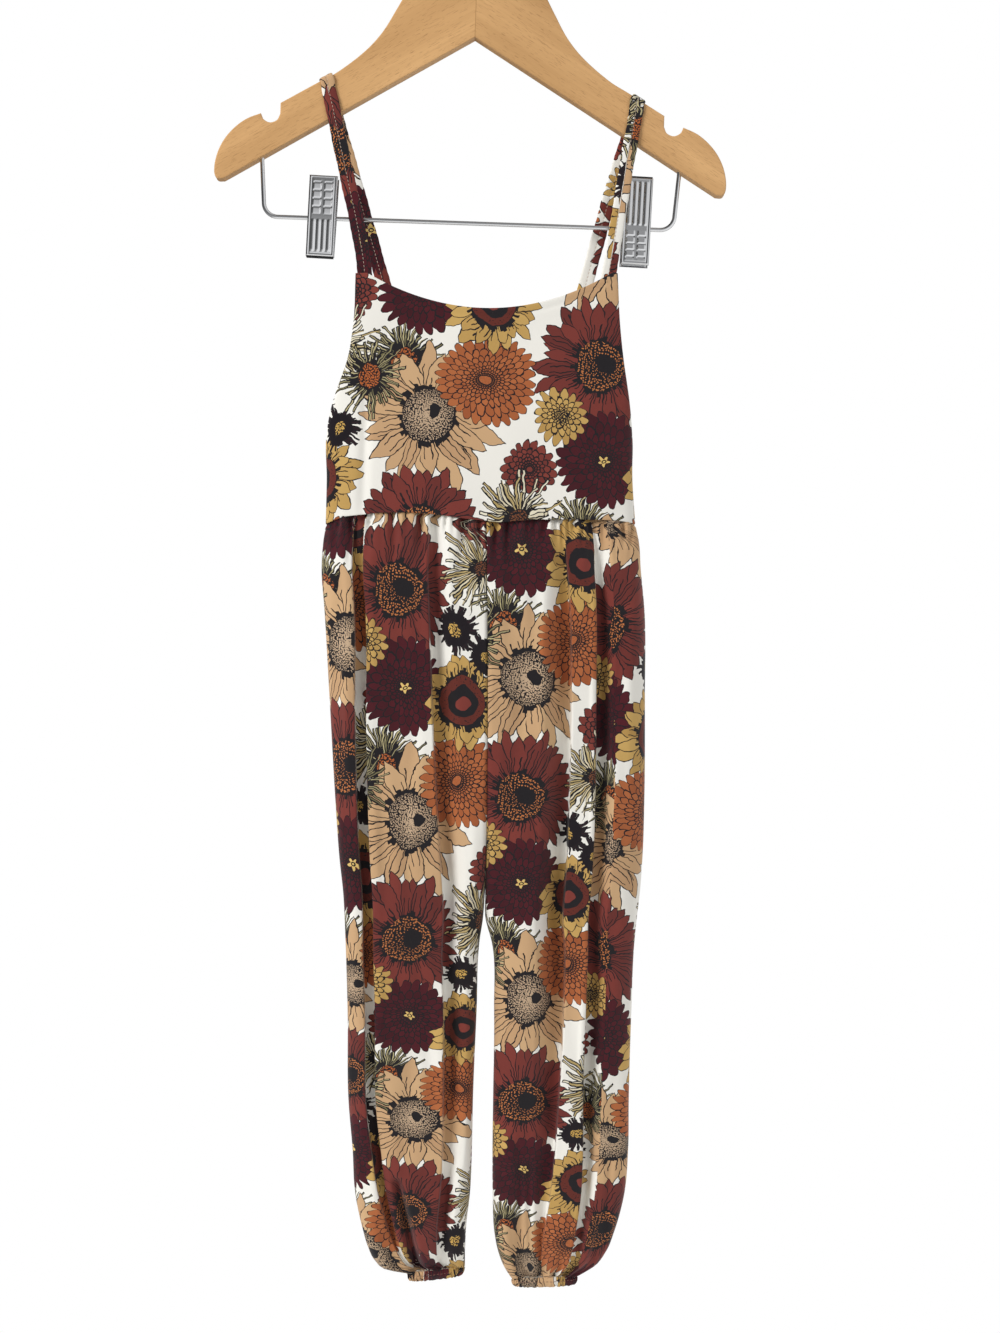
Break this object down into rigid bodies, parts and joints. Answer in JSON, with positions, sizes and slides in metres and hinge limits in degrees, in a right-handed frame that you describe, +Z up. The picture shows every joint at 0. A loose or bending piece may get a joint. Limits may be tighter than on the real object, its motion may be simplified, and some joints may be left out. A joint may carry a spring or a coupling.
{
  "type": "romper on a hanger",
  "caption": "Sleeveless child's romper in printed jersey, with thin straps, a gathered waist seam and long gathered legs, hanging on a wooden hanger with a clip bar.",
  "frame": {"origin": "the point inside the hanger's hook that bears on the rail, in the middle of the wire's width", "axes": "+Z up, -Y towards the viewer of the garment's front, +X to the viewer's right"},
  "size_m": [0.357, 0.0508, 0.998],
  "materials": {
    "printed_jersey": "fine off-white cotton or viscose jersey with a soft sheen, printed all over with large rust, burgundy, peach, mustard and orange flowers with dark outlines",
    "beech_wood": "clear varnished honey-coloured wood with a fine straight grain",
    "chromed_steel": "bright plated wire and pressed clips",
    "black_rubber": "matt black pads between the clip jaws"
  },
  "bodies": {
    "root": {"hanger_wood": "beech_wood", "hanger_hook": "chromed_steel", "hanger_bar": "chromed_steel", "clip_left": "chromed_steel", "clip_right": "chromed_steel", "clip_left_pad": "black_rubber", "clip_right_pad": "black_rubber", "strap_left": "printed_jersey", "strap_right": "printed_jersey", "bodice_front": "printed_jersey", "bodice_back": "printed_jersey", "leg_front_left": "printed_jersey", "leg_front_right": "printed_jersey", "leg_back_left": "printed_jersey", "leg_back_right": "printed_jersey", "cuff_left": "printed_jersey", "cuff_right": "printed_jersey"}
  },
  "joints": []
}
